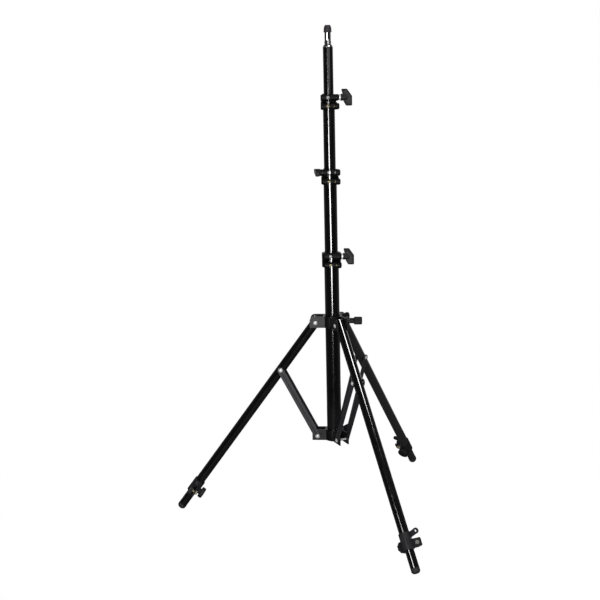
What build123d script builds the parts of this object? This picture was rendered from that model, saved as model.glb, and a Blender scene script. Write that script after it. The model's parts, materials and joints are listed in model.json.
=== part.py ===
from build123d import *
import os
from math import asin, cos, degrees, radians, sin, sqrt

# A photographic light stand: a telescoping column of four tubes with screw clamps, on three tubular
# legs that fold against the column on a sliding collar and a pair of flat braces each.
# Millimetres. The origin is on the column's axis at floor level, +Z is up and leg a points along -X.

# Leg linkage
hinge_radius = 44.0  # leg pins and brace pins, from the column's axis
leg_pivot_height = 526.4
leg_spread = 36.14  # leg from the vertical, in degrees
leg_to_brace_pin = 159.0  # along the leg
brace_length = 204.0  # between its two pins
leg_azimuths = {"a": 180.0, "b": 300.0, "c": 60.0}

# Column tubes, from the base upwards
column_diameters = [38.0, 34.0, 30.0, 25.0]
column_wall = 1.5
section_lengths = [470.0, 450.0, 430.0]  # second, third and fourth tube
top_tube_end = 1224.6
guide_gap = 0.35  # between a guide plug and the tube around it
plug_flange = 6.0
plug_depth = 14.0
base_plug_depth = 15.0

# Column clamps
clamp_bottoms = [673.0, 885.6, 1071.6]
clamp_height = 36.6
clamp_wall = 5.5
clamp_edge = 0.8
lobe_height = 18.4  # lower lobe
lobe_slit = 2.4  # between the lower and the upper lobe
slit_back = 8.0  # how far the slit runs behind the tube's axis
slit_left = 12.0
groove_depth = 1.0  # where the slit runs on round the back as a groove
split_gap = 7.0  # between the two ears
ear_thickness = 5.0  # right ears, which carry the bosses
left_ear_end = 15.0  # left ears, in which nuts and bolt heads are sunk
fixing_bolt_height = 9.4  # above the clamp's lower end
screw_heights = [32.2, 32.2, 30.9]  # clamp screws, first to third clamp
lower_ear_radius = 8.6
upper_ear_radii = [10.4, 8.8, 8.6]  # first to third clamp
ear_reach = 11.5  # clamp bolts, from the lower tube's wall
boss_step = 0.6  # a boss is this much slimmer than its ear
boss_end = 28.0
boss_round = 4.5
web_end = 18.0
web_height = 8.4
window_start = 13.8  # opening in a boss, where the bolt shows
window_width = 2.6
window_height = 9.0
window_back = 1.0  # in front of the bolt's axis

# Fits
fixed_gap = 0.03  # pieces fastened to each other
running_gap = 0.05  # hinge pins
sliding_gap = 0.35  # tubes through the clamp that holds them

# Fasteners
screw_radius = 4.0  # M8 clamp screws
screw_clearance = 0.3
screw_grip = 12.0  # screw inside its knob
nut_flats = 13.0
nut_height = 6.5
nut_gap = 0.05
split_nut_start = -0.5  # second clamp: its nut stands in the split
washer_radius = 7.8
washer_height = 4.0
bolt_radius = 3.0  # M6 fixing bolts
bolt_head_flats = 10.0
bolt_head_height = 4.2
bolt_depth = 20.0  # fixing bolts, from the split's middle
rivet_radius = 3.0
rivet_head_radius = 5.6
rivet_head_height = 2.4
rivet_dimple_radius = 1.5
rivet_dimple_depth = 1.0

# T-knobs, depths from the knob's inner face outwards
knob_gap = 0.3  # between a knob and what it turns on
knob_boss_radius = 8.3
knob_thickness = 11.0
knob_round = 2.4
wing_length = 20.5  # of each wing, from the screw's axis
near_wing_start = 0.6  # the wing that leans towards the clamp
near_wing_end = 14.6
far_wing_start = 12.0  # the wing that leans away from it
far_wing_end = 27.0
wing_shoulder = 3.0  # where the knob's sloping back meets its outer face
wing_root = 9.0
near_root_start = 3.4
far_root_start = 5.6
slant_near_start = 3.7  # slanted bar of the second clamp, whose knob is on the left
slant_near_end = 13.5
slant_far_start = 4.5
slant_far_end = 20.7
slant_turn = 7.0  # bar from the level, in degrees

# Round knobs
flute_radius = 1.4
round_knob_chamfer = 1.4
leg_neck_radius = 8.2
leg_neck_length = 1.0
leg_head_radius = 15.2
leg_head_length = 11.0
leg_flutes = 10

# Leg collar and brace collar
collar_bore_gap = 1.2  # the leg collar slides on the base tube
collar_radius = 25.0
cheek_start = 19.0
cheek_end_round = 12.0
cheek_low_round = 3.0
leg_collar_below = 12.6  # below and above the leg pins
leg_collar_above = 17.6
leg_cheek_inside = 13.0  # half the gap between two cheeks
leg_cheek_thickness = 2.8
leg_cheek_reach = 14.6  # beyond the leg pin
brace_collar_below = 11.2
brace_collar_above = 18.2
brace_cheek_inside = 10.7
brace_cheek_thickness = 2.8
brace_cheek_reach = 13.8
brace_strip_inside = 13.9
brace_strip_thickness = 2.2
brace_strip_width = 16.6

# Lock knob of the leg collar
lock_rise = 3.0  # above the leg pins
lock_boss_radius = 9.0
lock_boss_start = 21.0
lock_boss_end = 44.6
lock_screw_tip = 20.5
lock_neck_start = 45.0
lock_neck_radius = 7.2
lock_neck_length = 11.0
lock_head_radius = 10.3
lock_head_length = 21.0
lock_flutes = 14

# Legs
leg_diameter = 25.0
leg_wall = 1.2
leg_top = 12.0  # leg tube above its pin
leg_tube_end = 562.8  # along the leg, from its pin
open_pin_gap = 1.35  # braces b and c: room for their pins in the leg tube
extension_diameter = 22.0
extension_wall = 1.2
extension_start = 300.0  # along the leg, from its pin
leg_clamp_start = 548.0
leg_clamp_end = 590.0
leg_clamp_radius = 15.0
leg_lobe_end = 563.3  # upper lobe, which holds the leg tube
leg_slit_end = 565.5
leg_slit_start = 6.0  # beside the leg's axis
tab_hole_out = 29.0
tab_hole_along = 549.5
tab_hole_radius = 3.2
tab_radius = 7.2
tab_root_out = 13.0
tab_root_end = 562.8
tab_near = 2.0
tab_far = 7.0
leg_ear_bolt_out = 22.0
leg_ear_along = 577.0
leg_ear_half_height = 10.4
leg_ear_end = 33.5
leg_ear_round = 3.0
leg_split_gap = 5.0
leg_ear_head_side = 7.0
leg_ear_nut_side = 10.0
leg_nut_height = 5.0
leg_nut_flats = 10.0
leg_boss_radius = 8.0
leg_boss_end = 17.1
leg_boss_start = 12.0
leg_screw_tip = 11.4
leg_screw_grip = 9.0

# Feet
foot_diameter = 22.6
foot_shoulder = 634.0  # along the leg, from its pin
foot_round = 8.0
foot_plug_length = 16.0

# Spigot and its cap, heights above the top tube's end
spigot_plug_length = 25.0
spigot_foot_low_radius = 12.0
spigot_foot_high_radius = 9.8
spigot_foot_end = 5.0
spigot_flange_start = 7.5
spigot_flange_end = 12.5
spigot_flange_radius = 8.8
spigot_radius = 8.0  # five-eighths-inch stud
spigot_end = 38.4
spigot_chamfer = 0.6
thread_radius = 3.175  # quarter-inch thread
thread_end = 47.6
cap_start = 34.4
cap_end = 52.0
cap_skirt_radius = 10.1
cap_body_radius = 9.5
cap_top_radius = 6.0
cap_skirt_height = 5.0
cap_shoulder = 10.5  # height of the rounded shoulder
cap_gap = 0.35  # above the stud and above the thread
cap_stud_gap = 0.7
cap_thread_gap = 1.1

# Worked out from the driving dimensions
leg_sine = sin(radians(leg_spread))
leg_cosine = cos(radians(leg_spread))
brace_spread = degrees(asin(leg_to_brace_pin * leg_sine / brace_length))
leg_pin_drop = leg_to_brace_pin * leg_cosine
brace_pin_height = leg_pivot_height - leg_pin_drop - brace_length * cos(radians(brace_spread))
base_bottom = brace_pin_height - brace_collar_below
ear_outside = split_gap / 2 + ear_thickness
nut_seat = left_ear_end - nut_height
strip_outside = brace_strip_inside + brace_strip_thickness

# The foot's rounded end just touches the floor.
foot_radius = foot_diameter / 2
foot_flat = foot_radius - foot_round
foot_tip = foot_round + (leg_pivot_height - foot_round - foot_flat * leg_sine) / leg_cosine

os.makedirs("parts", exist_ok=True)


def save(piece, name):
    piece.part.label = name
    export_step(piece.part, f"parts/{name}.step")


def outward(azimuth):
    return Vector(cos(radians(azimuth)), sin(radians(azimuth)), 0)


def sideways(azimuth):
    return Vector(-sin(radians(azimuth)), cos(radians(azimuth)), 0)


def wall_plane(azimuth, aside):
    """Upright plane beside the column's axis: its x runs outwards and its y up."""
    side = sideways(azimuth)
    return Plane(origin=side * aside, x_dir=outward(azimuth), z_dir=side * -1)


def pin_plane(azimuth, radius, height):
    """Plane at the middle of a hinge pin: its x runs along the pin and its y up."""
    middle = outward(azimuth) * radius + Vector(0, 0, height)
    return Plane(origin=middle, x_dir=sideways(azimuth), z_dir=outward(azimuth))


def leg_frame(azimuth):
    """A leg's own frame at its pin: z down the leg, x sideways to the ears, y out of its upper side."""
    down = outward(azimuth) * leg_sine - Vector(0, 0, leg_cosine)
    pin = outward(azimuth) * hinge_radius + Vector(0, 0, leg_pivot_height)
    return Plane(origin=pin, x_dir=sideways(azimuth), z_dir=down)


def side_plane(frame, y):
    """Plane across a leg's upper side: its x runs to the ears, its y down the leg, inwards is plus."""
    return Plane(origin=frame.from_local_coords(Vector(0, y, 0)), x_dir=frame.x_dir, z_dir=frame.y_dir * -1)


def rod(plane, radius, length, bore=0.0, mode=Mode.ADD):
    """Adds a round rod, or a tube where it has a bore, to the piece that is being made, or cuts it."""
    with BuildSketch(plane) as section:
        Circle(radius)
        if bore > 0:
            Circle(bore, mode=Mode.SUBTRACT)
    extrude(section.sketch, amount=length, mode=mode)


def hexagon(plane, flats, length, bore=0.0, mode=Mode.ADD):
    """Adds a nut, or a bolt head where it has no bore, to the piece that is being made, or cuts it."""
    with BuildSketch(plane) as section:
        RegularPolygon(flats / sqrt(3), 6, rotation=30)
        if bore > 0:
            Circle(bore, mode=Mode.SUBTRACT)
    extrude(section.sketch, amount=length, mode=mode)


def pin_hole(plane, half_length, radius):
    """Cuts a hole along the plane's x in the piece that is being made."""
    start = plane.from_local_coords(Vector(-half_length, 0, 0))
    across = Plane(origin=start, x_dir=plane.y_dir, z_dir=plane.x_dir)
    rod(across, radius, 2 * half_length, mode=Mode.SUBTRACT)


def rivet(plane, half_grip):
    """Adds a tubular rivet with two domed heads, along the plane's x, to the piece that is being made."""
    rise = rivet_head_height
    dome = (rivet_head_radius**2 + rise**2) / (2 * rise)
    turn = asin(rivet_head_radius / dome) / 2 + asin(rivet_dimple_radius / dome) / 2
    crown = half_grip + rise
    crown_middle = half_grip + rise - dome + dome * cos(turn)
    crown_edge = half_grip + rise - dome + sqrt(dome**2 - rivet_dimple_radius**2)
    floor = crown - rivet_dimple_depth
    middle = dome * sin(turn)
    with BuildSketch(plane) as half:
        with BuildLine():
            Polyline((-floor, 0), (-floor, rivet_dimple_radius), (-crown_edge, rivet_dimple_radius))
            ThreePointArc(
                (-crown_edge, rivet_dimple_radius), (-crown_middle, middle), (-half_grip, rivet_head_radius)
            )
            Polyline(
                (-half_grip, rivet_head_radius),
                (-half_grip, rivet_radius),
                (half_grip, rivet_radius),
                (half_grip, rivet_head_radius),
            )
            ThreePointArc(
                (half_grip, rivet_head_radius), (crown_middle, middle), (crown_edge, rivet_dimple_radius)
            )
            Polyline((crown_edge, rivet_dimple_radius), (floor, rivet_dimple_radius), (floor, 0))
            Line((floor, 0), (-floor, 0))
        make_face()
    revolve(half.sketch, axis=Axis(plane.origin, plane.x_dir))


def guide_plug(tube_diameter, tube_bottom, around_diameter):
    """Plug in the lower end of a column tube, whose flange guides it in the tube around it."""
    inside = tube_diameter / 2 - column_wall - fixed_gap
    with BuildPart() as piece:
        guide_radius = around_diameter / 2 - column_wall - guide_gap
        rod(Plane.XY.offset(tube_bottom - plug_flange), guide_radius, plug_flange)
        rod(Plane.XY.offset(tube_bottom), inside, plug_depth)
        chamfer(piece.edges().group_by(Axis.Z)[0], clamp_edge)
    return piece


def bolt_plane(x, bolt_y, height):
    """Plane across a column clamp's bolts, facing +X."""
    return Plane(origin=(x, bolt_y, height), x_dir=(0, 1, 0), z_dir=(1, 0, 0))


def column_clamp(bottom, turned, lower_radius, upper_radius, upper_ear_radius, knob_side):
    """Split clamp: its lower lobe sits on one tube, and its upper lobe grips the tube that slides in it."""
    bolt_y = -lower_radius - ear_reach
    slit_bottom = bottom + lobe_height
    upper_lobe = slit_bottom + lobe_slit
    fixed = bottom + fixing_bolt_height
    with BuildPart() as piece:
        with BuildSketch(Plane.XY.offset(bottom)):
            Circle(lower_radius + clamp_wall)
        extrude(amount=clamp_height)
        chamfer(piece.edges().filter_by(GeomType.CIRCLE), clamp_edge)
        for height, ear_radius in ((fixed, lower_ear_radius), (turned, upper_ear_radius)):
            with BuildSketch(Plane.YZ.offset(-left_ear_end)):
                with Locations((bolt_y, height)):
                    Circle(ear_radius)
                with Locations((bolt_y / 2, height)):
                    Rectangle(-bolt_y, 2 * ear_radius)
            extrude(amount=left_ear_end + ear_outside)
            with BuildSketch(Plane.YZ.offset(ear_outside)):
                with Locations((bolt_y / 2, height)):
                    Rectangle(-bolt_y, web_height)
            extrude(amount=web_end - ear_outside)
            boss_start = bolt_plane(ear_outside, bolt_y, height)
            rod(boss_start, ear_radius - boss_step, boss_end - ear_outside)
        fillet(piece.edges().filter_by(GeomType.CIRCLE).group_by(Axis.X)[-1], boss_round)
        rod(Plane.XY.offset(bottom), lower_radius + fixed_gap, lobe_height + lobe_slit, mode=Mode.SUBTRACT)
        rod(Plane.XY.offset(upper_lobe), upper_radius + sliding_gap, clamp_height, mode=Mode.SUBTRACT)
        with BuildSketch(Plane.XY.offset(bottom)):
            with Locations((0, bolt_y)):
                Rectangle(split_gap, -2 * bolt_y)
        extrude(amount=2 * clamp_height, mode=Mode.SUBTRACT)
        slit_width = slit_left + 2 * boss_end
        with BuildSketch(Plane.XY.offset(slit_bottom)):
            with Locations((slit_width / 2 - slit_left, slit_back + 2 * bolt_y)):
                Rectangle(slit_width, -4 * bolt_y)
        extrude(amount=lobe_slit, mode=Mode.SUBTRACT)
        outside = lower_radius + clamp_wall
        rod(Plane.XY.offset(slit_bottom), outside, lobe_slit, outside - groove_depth, Mode.SUBTRACT)

        # Fixing bolt: its head is sunk in the left ear, and its hole ends in the boss
        outer_face = bolt_plane(-left_ear_end, bolt_y, fixed)
        bolt_hole = left_ear_end + bolt_depth + fixed_gap
        hexagon(outer_face, bolt_head_flats + 2 * fixed_gap, nut_height, mode=Mode.SUBTRACT)
        rod(outer_face, bolt_radius + fixed_gap, bolt_hole, mode=Mode.SUBTRACT)

        # Clamp screw: it runs through to a knob on the right, and ends in the boss under one on the left
        outer_face = bolt_plane(-left_ear_end, bolt_y, turned)
        nut_room = nut_flats + 2 * fixed_gap
        if knob_side > 0:
            screw_hole = left_ear_end + boss_end
            windows = [fixed]
            hexagon(outer_face, nut_room, nut_height, mode=Mode.SUBTRACT)
        else:
            screw_hole = left_ear_end + web_end + screw_clearance
            windows = [fixed, turned]
            nut_plane = bolt_plane(split_nut_start, bolt_y, turned)
            hexagon(nut_plane, nut_room, nut_height, mode=Mode.SUBTRACT)
        rod(outer_face, screw_radius + screw_clearance, screw_hole, mode=Mode.SUBTRACT)
        for height in windows:
            with BuildSketch(Plane.XY.offset(height - window_height / 2)):
                with Locations((window_start + window_width / 2, bolt_y - lower_ear_radius)):
                    Rectangle(window_width, 2 * (lower_ear_radius - window_back))
            extrude(amount=window_height, mode=Mode.SUBTRACT)
    return piece


def column_clamp_hardware(bottom, turned, lower_radius, knob_side):
    """Thrust washer under the knob, nut of the clamp screw, and the bolt that fixes the lower lobe."""
    bolt_y = -lower_radius - ear_reach
    fixed = bottom + fixing_bolt_height
    if knob_side > 0:
        washer_x, nut_x = boss_end, -left_ear_end
    else:
        washer_x, nut_x = -left_ear_end - washer_height, split_nut_start
    with BuildPart() as piece:
        washer_bore = screw_radius + screw_clearance
        rod(bolt_plane(washer_x, bolt_y, turned), washer_radius, washer_height, washer_bore)
        hexagon(bolt_plane(nut_x, bolt_y, turned), nut_flats, nut_height, screw_radius + nut_gap)
        head_x = -nut_seat - bolt_head_height
        hexagon(bolt_plane(head_x, bolt_y, fixed), bolt_head_flats, bolt_head_height)
        rod(bolt_plane(-nut_seat, bolt_y, fixed), bolt_radius, nut_seat + bolt_depth)
    return piece


def slanted_bar():
    """Outline of a slanted T-bar: distances along the bar and outwards along the screw."""
    return [
        (wing_length, slant_near_start),
        (wing_length, slant_near_end),
        (-wing_length, slant_far_end),
        (-wing_length, slant_far_start),
    ]


def winged_bar():
    """Outline of a bar with one wing near the clamp and one away from it."""
    return [
        (wing_length, near_wing_start),
        (wing_length, near_wing_end),
        (wing_shoulder, far_wing_end),
        (-wing_length, far_wing_end),
        (-wing_length, far_wing_start),
        (-wing_root, far_root_start),
        (wing_root, near_root_start),
    ]


def t_knob(frame, bar_outline):
    """T-knob: frame z runs outwards along the screw and frame x along the bar."""
    bar_plane = Plane(origin=frame.origin, x_dir=frame.x_dir, z_dir=frame.y_dir * -1)
    with BuildPart() as piece:
        with BuildSketch(bar_plane) as outline:
            Polygon(*bar_outline, align=None)
            fillet(outline.vertices(), knob_round)
        extrude(amount=knob_thickness / 2, both=True)
        fillet(piece.faces().filter_by(bar_plane).edges(), knob_round)
        rod(frame, knob_boss_radius, screw_grip + knob_round)
        rod(frame, screw_radius + fixed_gap, screw_grip + fixed_gap, mode=Mode.SUBTRACT)
    return piece


def round_knob(start, neck_radius, neck_length, head_radius, head_length, flutes, grip):
    """Round knob with finger flutes: start's z runs outwards along the screw."""
    head = start.offset(neck_length)
    with BuildPart() as piece:
        rod(head, head_radius, head_length)
        chamfer(piece.edges().filter_by(GeomType.CIRCLE), round_knob_chamfer)
        with BuildSketch(head) as section:
            with PolarLocations(head_radius + flute_radius / 2, flutes):
                Circle(flute_radius)
        extrude(section.sketch, amount=head_length, mode=Mode.SUBTRACT)
        rod(start, neck_radius, neck_length)
        rod(start, screw_radius + fixed_gap, grip + fixed_gap, mode=Mode.SUBTRACT)
    return piece


def collar(piece, bottom, top, bore, inside, thickness, reach, pin_height):
    """Adds a ring with three clevis lugs of two cheeks each to the piece that is being made."""
    end = hinge_radius + reach
    rod(Plane.XY.offset(bottom), collar_radius, top - bottom)
    chamfer(piece.edges().filter_by(GeomType.CIRCLE), clamp_edge)
    rod(Plane.XY.offset(bottom), bore, top - bottom, mode=Mode.SUBTRACT)
    for azimuth in leg_azimuths.values():
        for aside in (inside + thickness, -inside):
            with BuildSketch(wall_plane(azimuth, aside)) as cheek:
                with Locations(((cheek_start + end) / 2, (bottom + top) / 2)):
                    Rectangle(end - cheek_start, top - bottom)
                outer_corners = cheek.vertices().group_by(Axis.X)[-1].sort_by(Axis.Y)
                fillet(outer_corners[-1], cheek_end_round)
                fillet(outer_corners[0], cheek_low_round)
            extrude(cheek.sketch, amount=thickness)
        pin = pin_plane(azimuth, hinge_radius, pin_height)
        pin_hole(pin, inside + 2 * thickness, rivet_radius + fixed_gap)


# Base tube and the plug in its lower end
tube_tops = [bottom + lobe_height for bottom in clamp_bottoms] + [top_tube_end]
base_diameter = column_diameters[0]
base_bore = base_diameter / 2 - column_wall
with BuildPart() as base_tube:
    rod(Plane.XY.offset(base_bottom), base_diameter / 2, tube_tops[0] - base_bottom, base_bore)
save(base_tube, "base_tube")

with BuildPart() as base_plug:
    rod(Plane.XY.offset(base_bottom), base_bore - fixed_gap, base_plug_depth)
save(base_plug, "base_plug")

# Second, third and fourth column tube, with their guide plugs
for number in (2, 3, 4):
    diameter = column_diameters[number - 1]
    tube_length = section_lengths[number - 2]
    tube_bottom = tube_tops[number - 1] - tube_length
    with BuildPart() as section_tube:
        rod(Plane.XY.offset(tube_bottom), diameter / 2, tube_length, diameter / 2 - column_wall)
    save(section_tube, f"section_{number}_tube")
    save(guide_plug(diameter, tube_bottom, column_diameters[number - 2]), f"section_{number}_plug")

# Column clamps with their hardware, T-knobs and screws
for number, bottom in enumerate(clamp_bottoms, 1):
    lower_radius = column_diameters[number - 1] / 2
    upper_radius = column_diameters[number] / 2
    knob_side = -1 if number == 2 else 1
    bolt_y = -lower_radius - ear_reach
    turned = bottom + screw_heights[number - 1]
    upper_ear_radius = upper_ear_radii[number - 1]
    clamp_body = column_clamp(bottom, turned, lower_radius, upper_radius, upper_ear_radius, knob_side)
    save(clamp_body, f"clamp_{number}_body")
    save(column_clamp_hardware(bottom, turned, lower_radius, knob_side), f"clamp_{number}_hardware")
    if knob_side > 0:
        knob_x = boss_end + washer_height + knob_gap
        screw_x = -left_ear_end
        knob_frame = Plane(origin=(knob_x, bolt_y, turned), x_dir=(0, 0, 1), z_dir=(1, 0, 0))
        clamp_knob = t_knob(knob_frame, winged_bar())
    else:
        knob_x = -left_ear_end - washer_height - knob_gap
        screw_x = web_end
        near_wing = (0, -cos(radians(slant_turn)), -sin(radians(slant_turn)))
        knob_frame = Plane(origin=(knob_x, bolt_y, turned), x_dir=near_wing, z_dir=(-1, 0, 0))
        clamp_knob = t_knob(knob_frame, slanted_bar())
    save(clamp_knob, f"clamp_{number}_knob")
    screw_length = abs(knob_x - screw_x) + screw_grip
    with BuildPart() as clamp_screw:
        rod(Plane(origin=(screw_x, bolt_y, turned), z_dir=(knob_side, 0, 0)), screw_radius, screw_length)
        chamfer(clamp_screw.edges().filter_by(GeomType.CIRCLE), clamp_edge)
    save(clamp_screw, f"clamp_{number}_screw")

# Spigot on the fourth tube, turned in one piece with its threaded tip
top = top_tube_end
with BuildPart() as spigot:
    with BuildSketch(Plane.XZ):
        with BuildLine():
            Polyline(
                (0, top - spigot_plug_length),
                (column_diameters[3] / 2 - column_wall - fixed_gap, top - spigot_plug_length),
                (column_diameters[3] / 2 - column_wall - fixed_gap, top + fixed_gap),
                (spigot_foot_low_radius, top + fixed_gap),
                (spigot_foot_high_radius, top + spigot_foot_end),
                (spigot_radius, top + spigot_foot_end),
                (spigot_radius, top + spigot_flange_start),
                (spigot_flange_radius, top + spigot_flange_start),
                (spigot_flange_radius, top + spigot_flange_end),
                (spigot_radius, top + spigot_flange_end),
                (spigot_radius, top + spigot_end - spigot_chamfer),
                (spigot_radius - spigot_chamfer, top + spigot_end),
                (thread_radius, top + spigot_end),
                (thread_radius, top + thread_end - spigot_chamfer),
                (thread_radius - spigot_chamfer, top + thread_end),
                (0, top + thread_end),
                close=True,
            )
        make_face()
    revolve(axis=Axis.Z)
save(spigot, "spigot")

# Cap that protects the thread
cap_base = top + cap_start
cap_top = top + cap_end
with BuildPart() as spigot_cap:
    with BuildSketch(Plane.XZ):
        with BuildLine():
            Polyline(
                (0, top + thread_end + cap_gap),
                (thread_radius + cap_thread_gap, top + thread_end + cap_gap),
                (thread_radius + cap_thread_gap, top + spigot_end + cap_gap),
                (spigot_radius + cap_stud_gap, top + spigot_end + cap_gap),
                (spigot_radius + cap_stud_gap, cap_base),
                (cap_skirt_radius, cap_base),
                (cap_body_radius, cap_base + cap_skirt_height),
                (cap_body_radius, cap_top - cap_shoulder),
            )
            TangentArc((cap_body_radius, cap_top - cap_shoulder), (cap_top_radius, cap_top), tangent=(0, 1))
            Polyline((cap_top_radius, cap_top), (0, cap_top), (0, top + thread_end + cap_gap))
        make_face()
    revolve(axis=Axis.Z)
save(spigot_cap, "spigot_cap")

# Brace collar, fixed at the foot of the base tube, with the rivets that carry the braces
with BuildPart() as brace_collar:
    collar(
        brace_collar,
        brace_pin_height - brace_collar_below,
        brace_pin_height + brace_collar_above,
        base_diameter / 2 + fixed_gap,
        brace_cheek_inside,
        brace_cheek_thickness,
        brace_cheek_reach,
        brace_pin_height,
    )
save(brace_collar, "brace_collar")

with BuildPart() as brace_foot_pins:
    for azimuth in leg_azimuths.values():
        rivet(pin_plane(azimuth, hinge_radius, brace_pin_height), strip_outside + knob_gap)
save(brace_foot_pins, "brace_foot_pins")

# Leg collar, which slides on the base tube, with the leg rivets and a boss for the lock screw
lock_height = leg_pivot_height + lock_rise
with BuildPart() as leg_collar:
    collar(
        leg_collar,
        leg_pivot_height - leg_collar_below,
        leg_pivot_height + leg_collar_above,
        base_diameter / 2 + collar_bore_gap,
        leg_cheek_inside,
        leg_cheek_thickness,
        leg_cheek_reach,
        leg_pivot_height,
    )
    lock_start = Plane(origin=(lock_boss_start, 0, lock_height), z_dir=(1, 0, 0))
    rod(lock_start, lock_boss_radius, lock_boss_end - lock_boss_start)
    lock_hole = lock_start.offset(-lock_boss_radius)
    rod(lock_hole, screw_radius + screw_clearance, lock_boss_end, mode=Mode.SUBTRACT)
save(leg_collar, "leg_collar")

with BuildPart() as leg_hinge_pins:
    for azimuth in leg_azimuths.values():
        grip = leg_cheek_inside + leg_cheek_thickness + fixed_gap
        rivet(pin_plane(azimuth, hinge_radius, leg_pivot_height), grip)
save(leg_hinge_pins, "leg_hinge_pins")

# Lock knob of the leg collar, with a fluted head, and its screw
lock_neck = Plane(origin=(lock_neck_start, 0, lock_height), z_dir=(1, 0, 0))
collar_lock_knob = round_knob(
    lock_neck, lock_neck_radius, lock_neck_length, lock_head_radius, lock_head_length, lock_flutes, screw_grip
)
save(collar_lock_knob, "collar_lock_knob")

with BuildPart() as collar_lock_screw:
    lock_tip = Plane(origin=(lock_screw_tip, 0, lock_height), z_dir=(1, 0, 0))
    rod(lock_tip, screw_radius, lock_neck_start + screw_grip - lock_screw_tip)
    chamfer(collar_lock_screw.edges().filter_by(GeomType.CIRCLE), clamp_edge)
save(collar_lock_screw, "collar_lock_screw")

# Legs: tube, clamp and its hardware, extension, foot, round knob with its screw, and two brace strips
for leg, azimuth in leg_azimuths.items():
    frame = leg_frame(azimuth)
    brace_pin = frame.offset(leg_to_brace_pin)
    brace_pin_gap = running_gap if leg == "a" else open_pin_gap

    with BuildPart() as leg_tube:
        rod(frame.offset(-leg_top), leg_diameter / 2, leg_top + leg_tube_end, leg_diameter / 2 - leg_wall)
        pin_hole(frame, leg_diameter, rivet_radius + running_gap)
        pin_hole(brace_pin, leg_diameter, rivet_radius + brace_pin_gap)
    save(leg_tube, f"leg_{leg}_tube")

    with BuildPart() as leg_clamp:
        rod(frame.offset(leg_clamp_start), leg_clamp_radius, leg_clamp_end - leg_clamp_start)
        chamfer(leg_clamp.edges().filter_by(GeomType.CIRCLE), clamp_edge)
        with BuildSketch(side_plane(frame, tab_far)):
            with Locations((tab_hole_out, tab_hole_along)):
                Circle(tab_radius)
            Polygon(
                (0, leg_clamp_start),
                (tab_root_out, leg_clamp_start),
                (tab_hole_out, tab_hole_along - tab_radius),
                (tab_hole_out, tab_hole_along + tab_radius),
                (tab_root_out, tab_root_end),
                (0, tab_root_end),
                align=None,
            )
            with Locations((tab_hole_out, tab_hole_along)):
                Circle(tab_hole_radius, mode=Mode.SUBTRACT)
        extrude(amount=tab_far - tab_near)
        with BuildSketch(side_plane(frame, leg_ear_nut_side)) as ears:
            with Locations((leg_ear_end / 2, leg_ear_along)):
                Rectangle(leg_ear_end, 2 * leg_ear_half_height)
            fillet(ears.vertices().group_by(Axis.X)[-1], leg_ear_round)
            with Locations((leg_ear_bolt_out, leg_ear_along)):
                Circle(bolt_radius + fixed_gap, mode=Mode.SUBTRACT)
        extrude(amount=leg_ear_nut_side + leg_ear_head_side)
        nut_middle = frame.from_local_coords(Vector(leg_ear_bolt_out, leg_ear_nut_side, leg_ear_along))
        nut_plane = Plane(origin=nut_middle, x_dir=frame.z_dir, z_dir=frame.y_dir * -1)
        hexagon(nut_plane, leg_nut_flats + 2 * fixed_gap, leg_nut_height, mode=Mode.SUBTRACT)
        boss_start = frame.from_local_coords(Vector(0, -leg_boss_start, leg_ear_along))
        boss_plane = Plane(origin=boss_start, x_dir=frame.z_dir, z_dir=frame.y_dir * -1)
        rod(boss_plane, leg_boss_radius, leg_boss_end - leg_boss_start)
        lobe = frame.offset(leg_clamp_start)
        rod(lobe, leg_diameter / 2 + fixed_gap, leg_lobe_end - leg_clamp_start, mode=Mode.SUBTRACT)
        lobe = frame.offset(leg_lobe_end)
        rod(lobe, extension_diameter / 2 + sliding_gap, leg_clamp_end - leg_lobe_end, mode=Mode.SUBTRACT)
        with BuildSketch(frame.offset(leg_lobe_end)):
            with Locations((leg_ear_end + leg_slit_start, 0)):
                Rectangle(2 * leg_ear_end, 2 * leg_ear_end)
        extrude(amount=leg_slit_end - leg_lobe_end, mode=Mode.SUBTRACT)
        with BuildSketch(frame.offset(leg_slit_end)):
            with Locations((leg_ear_end, 0)):
                Rectangle(2 * leg_ear_end, leg_split_gap)
        extrude(amount=leg_clamp_end - leg_slit_end, mode=Mode.SUBTRACT)
        screw_hole = screw_radius + screw_clearance
        rod(boss_plane.offset(-screw_clearance - leg_wall), screw_hole, leg_boss_end, mode=Mode.SUBTRACT)
    save(leg_clamp, f"leg_{leg}_clamp")

    with BuildPart() as leg_clamp_hardware:
        bolt_start = nut_plane.offset(fixed_gap)
        head_seat = nut_plane.offset(leg_ear_nut_side + leg_ear_head_side)
        hexagon(bolt_start, leg_nut_flats, leg_nut_height - 2 * fixed_gap)
        rod(bolt_start, bolt_radius, leg_ear_nut_side + leg_ear_head_side)
        hexagon(head_seat, bolt_head_flats, bolt_head_height)
    save(leg_clamp_hardware, f"leg_{leg}_clamp_hardware")

    with BuildPart() as leg_extension:
        extension_bore = extension_diameter / 2 - extension_wall
        extension_plane = frame.offset(extension_start)
        rod(extension_plane, extension_diameter / 2, foot_shoulder - extension_start, extension_bore)
    save(leg_extension, f"leg_{leg}_extension")

    with BuildPart() as leg_foot:
        rod(frame.offset(foot_shoulder), foot_radius, foot_tip - foot_shoulder)
        fillet(leg_foot.faces().sort_by(Axis(frame.origin, frame.z_dir))[-1].edges(), foot_round)
        rod(frame.offset(foot_shoulder - foot_plug_length), extension_bore - fixed_gap, foot_plug_length)
    save(leg_foot, f"leg_{leg}_foot")

    knob_start = frame.from_local_coords(Vector(0, -leg_boss_end - knob_gap, leg_ear_along))
    knob_plane = Plane(origin=knob_start, x_dir=frame.x_dir, z_dir=frame.y_dir * -1)
    leg_knob = round_knob(
        knob_plane,
        leg_neck_radius,
        leg_neck_length,
        leg_head_radius,
        leg_head_length,
        leg_flutes,
        leg_screw_grip,
    )
    save(leg_knob, f"leg_{leg}_knob")

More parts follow.
